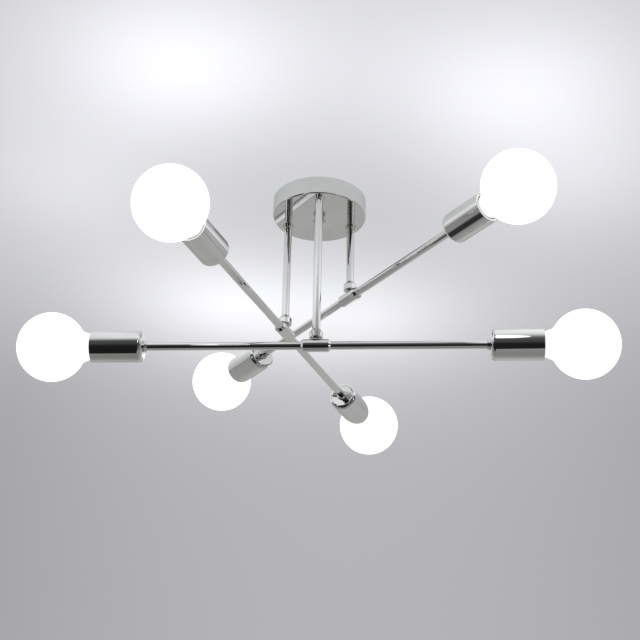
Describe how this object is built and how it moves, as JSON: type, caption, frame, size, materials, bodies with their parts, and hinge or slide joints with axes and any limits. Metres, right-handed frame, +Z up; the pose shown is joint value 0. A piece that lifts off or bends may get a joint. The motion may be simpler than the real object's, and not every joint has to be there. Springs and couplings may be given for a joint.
{
  "type": "multi-arm chandelier",
  "caption": "Polished ceiling light with a round canopy, stems of stepped length and straight swivelling arms, each end holding a lamp cup with a screw-in opal globe bulb.",
  "frame": {"origin": "on the ceiling plane, at the centre of the canopy and of the crossbar's slots", "axes": "+Z up into the ceiling, +X along the lowest arm at rest, +Y away from the viewer of the picture"},
  "size_m": [0.6894, 0.6502, 0.262],
  "materials": {
    "chrome": "mirror polished",
    "opal_globe": "opal, lit",
    "nickel_cap": "plain nickel",
    "brass": "plain",
    "black_phenolic": "matt moulded",
    "black_glass": "fused glass",
    "zinc_steel": "zinc plated",
    "white_plastic": "moulded",
    "lead_insulation": "smooth sleeve"
  },
  "bodies": {
    "ceiling_assembly": {"canopy": "chrome", "crossbar": "zinc_steel", "threaded_nipple": "zinc_steel", "nipple_nut": "zinc_steel", "finial": "chrome", "ground_screw": "brass", "stem_1": "chrome", "stem_2": "chrome", "stem_3": "chrome", "stem_flanges": "chrome", "stem_lock_nuts": "zinc_steel", "stem_feet": "chrome", "swivel_collars": "chrome", "terminal_block": "white_plastic", "canopy_leads": "lead_insulation"},
    "arm_1": {"tee_1": "chrome", "arm_tubes_1": "chrome", "cup_nuts_1": "chrome", "lamp_cup_1a": "chrome", "lamp_cup_1b": "chrome", "lampholders_1": "black_phenolic", "socket_shells_1": "brass", "socket_contacts_1": "brass", "arm_leads_1": "lead_insulation"},
    "bulb_1a_base": {"bulb_1a_tip": "black_glass"},
    "bulb_1a": {"bulb_1a_cap": "nickel_cap", "bulb_1a_globe": "opal_globe"},
    "bulb_1b_base": {"bulb_1b_tip": "black_glass"},
    "bulb_1b": {"bulb_1b_cap": "nickel_cap", "bulb_1b_globe": "opal_globe"},
    "arm_2": {"tee_2": "chrome", "arm_tubes_2": "chrome", "cup_nuts_2": "chrome", "lamp_cup_2a": "chrome", "lamp_cup_2b": "chrome", "lampholders_2": "black_phenolic", "socket_shells_2": "brass", "socket_contacts_2": "brass", "arm_leads_2": "lead_insulation"},
    "bulb_2a_base": {"bulb_2a_tip": "black_glass"},
    "bulb_2a": {"bulb_2a_cap": "nickel_cap", "bulb_2a_globe": "opal_globe"},
    "bulb_2b_base": {"bulb_2b_tip": "black_glass"},
    "bulb_2b": {"bulb_2b_cap": "nickel_cap", "bulb_2b_globe": "opal_globe"},
    "arm_3": {"tee_3": "chrome", "arm_tubes_3": "chrome", "cup_nuts_3": "chrome", "lamp_cup_3a": "chrome", "lamp_cup_3b": "chrome", "lampholders_3": "black_phenolic", "socket_shells_3": "brass", "socket_contacts_3": "brass", "arm_leads_3": "lead_insulation"},
    "bulb_3a_base": {"bulb_3a_tip": "black_glass"},
    "bulb_3a": {"bulb_3a_cap": "nickel_cap", "bulb_3a_globe": "opal_globe"},
    "bulb_3b_base": {"bulb_3b_tip": "black_glass"},
    "bulb_3b": {"bulb_3b_cap": "nickel_cap", "bulb_3b_globe": "opal_globe"}
  },
  "joints": [
    {"name": "arm_1_swivel", "type": "hinge", "parent": "ceiling_assembly", "child": "arm_1", "pos_m": [0, -0.045, -0.222], "axis": [0, 0, 1], "range_deg": [-80, 42]},
    {"name": "bulb_1a_travel", "type": "slide", "parent": "arm_1", "child": "bulb_1a_base", "axis": [0.999, -0.0436, 0], "range_m": [0, 0.0128]},
    {"name": "bulb_1a_screw", "type": "hinge", "parent": "bulb_1a_base", "child": "bulb_1a", "pos_m": [0.23977, -0.05547, -0.222], "axis": [0.999, -0.0436, 0], "range_deg": [0, 1260]},
    {"name": "bulb_1b_travel", "type": "slide", "parent": "arm_1", "child": "bulb_1b_base", "axis": [-0.999, 0.0436, 0], "range_m": [0, 0.0128]},
    {"name": "bulb_1b_screw", "type": "hinge", "parent": "bulb_1b_base", "child": "bulb_1b", "pos_m": [-0.23977, -0.03453, -0.222], "axis": [-0.999, 0.0436, 0], "range_deg": [0, 1260]},
    {"name": "arm_2_swivel", "type": "hinge", "parent": "ceiling_assembly", "child": "arm_2", "pos_m": [-0.03897, 0.0225, -0.17], "axis": [0, 0, 1], "range_deg": [-40, 28]},
    {"name": "bulb_2a_travel", "type": "slide", "parent": "arm_2", "child": "bulb_2a_base", "axis": [0.3551, 0.9348, 0], "range_m": [0, 0.0128]},
    {"name": "bulb_2a_screw", "type": "hinge", "parent": "bulb_2a_base", "child": "bulb_2a", "pos_m": [0.04625, 0.24686, -0.17], "axis": [0.3551, 0.9348, 0], "range_deg": [0, 1260]},
    {"name": "bulb_2b_travel", "type": "slide", "parent": "arm_2", "child": "bulb_2b_base", "axis": [-0.3551, -0.9348, 0], "range_m": [0, 0.0128]},
    {"name": "bulb_2b_screw", "type": "hinge", "parent": "bulb_2b_base", "child": "bulb_2b", "pos_m": [-0.1242, -0.20186, -0.17], "axis": [-0.3551, -0.9348, 0], "range_deg": [0, 1260]},
    {"name": "arm_3_swivel", "type": "hinge", "parent": "ceiling_assembly", "child": "arm_3", "pos_m": [0.03897, 0.0225, -0.1223], "axis": [0, 0, 1], "range_deg": [-25, 40]},
    {"name": "bulb_3a_travel", "type": "slide", "parent": "arm_3", "child": "bulb_3a_base", "axis": [-0.5707, 0.8211, 0], "range_m": [0, 0.0128]},
    {"name": "bulb_3a_screw", "type": "hinge", "parent": "bulb_3a_base", "child": "bulb_3a", "pos_m": [-0.098, 0.21958, -0.1223], "axis": [-0.5707, 0.8211, 0], "range_deg": [0, 1260]},
    {"name": "bulb_3b_travel", "type": "slide", "parent": "arm_3", "child": "bulb_3b_base", "axis": [0.5707, -0.8211, 0], "range_m": [0, 0.0128]},
    {"name": "bulb_3b_screw", "type": "hinge", "parent": "bulb_3b_base", "child": "bulb_3b", "pos_m": [0.17594, -0.17458, -0.1223], "axis": [0.5707, -0.8211, 0], "range_deg": [0, 1260]}
  ],
  "couplings": [
    {"joint": "bulb_1a_travel", "follows": "bulb_1a_screw", "m_per_rad": 0.00057751},
    {"joint": "bulb_1b_travel", "follows": "bulb_1b_screw", "m_per_rad": 0.00057751},
    {"joint": "bulb_2a_travel", "follows": "bulb_2a_screw", "m_per_rad": 0.00057751},
    {"joint": "bulb_2b_travel", "follows": "bulb_2b_screw", "m_per_rad": 0.00057751},
    {"joint": "bulb_3a_travel", "follows": "bulb_3a_screw", "m_per_rad": 0.00057751},
    {"joint": "bulb_3b_travel", "follows": "bulb_3b_screw", "m_per_rad": 0.00057751}
  ]
}
